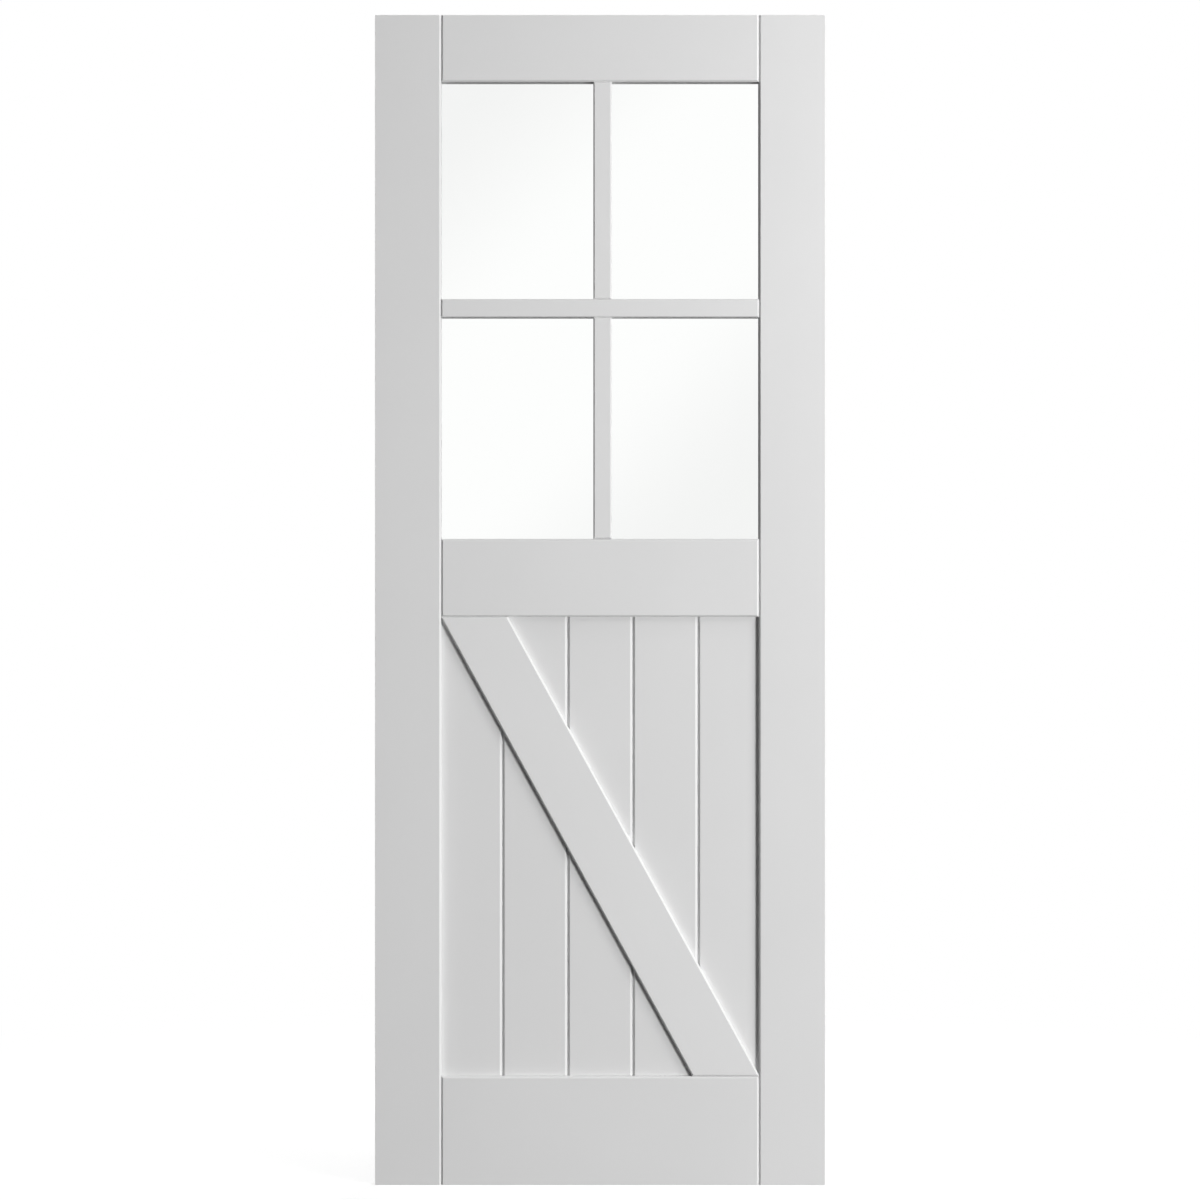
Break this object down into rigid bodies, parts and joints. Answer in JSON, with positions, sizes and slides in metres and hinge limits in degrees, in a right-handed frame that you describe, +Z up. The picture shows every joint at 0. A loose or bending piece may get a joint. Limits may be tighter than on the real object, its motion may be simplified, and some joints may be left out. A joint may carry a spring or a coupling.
{
  "type": "glazed barn door",
  "caption": "White-primed barn door leaf, glazed in four lights above a boarded panel with a diagonal brace.",
  "frame": {"origin": "middle of the leaf's top edge, at half its thickness", "axes": "+X to the right seen from the front, +Y from the front face to the back face, +Z up"},
  "size_m": [0.762, 0.035, 1.981],
  "materials": {
    "white_primer": "matt white primer",
    "clear_glass": "clear float glass"
  },
  "bodies": {
    "root": {"left_stile": "white_primer", "right_stile": "white_primer", "top_rail": "white_primer", "middle_rail": "white_primer", "bottom_rail": "white_primer", "cross_bar": "white_primer", "upper_upright_bar": "white_primer", "lower_upright_bar": "white_primer", "bead_upper_left_bottom": "white_primer", "bead_upper_left_right": "white_primer", "bead_upper_left_top": "white_primer", "bead_upper_left_left": "white_primer", "bead_upper_right_bottom": "white_primer", "bead_upper_right_right": "white_primer", "bead_upper_right_top": "white_primer", "bead_upper_right_left": "white_primer", "bead_lower_left_bottom": "white_primer", "bead_lower_left_right": "white_primer", "bead_lower_left_top": "white_primer", "bead_lower_left_left": "white_primer", "bead_lower_right_bottom": "white_primer", "bead_lower_right_right": "white_primer", "bead_lower_right_top": "white_primer", "bead_lower_right_left": "white_primer", "board_1": "white_primer", "board_2": "white_primer", "board_3": "white_primer", "board_4": "white_primer", "board_5": "white_primer", "front_brace": "white_primer", "back_brace": "white_primer", "pane_upper_left": "clear_glass", "pane_upper_right": "clear_glass", "pane_lower_left": "clear_glass", "pane_lower_right": "clear_glass"}
  },
  "joints": []
}
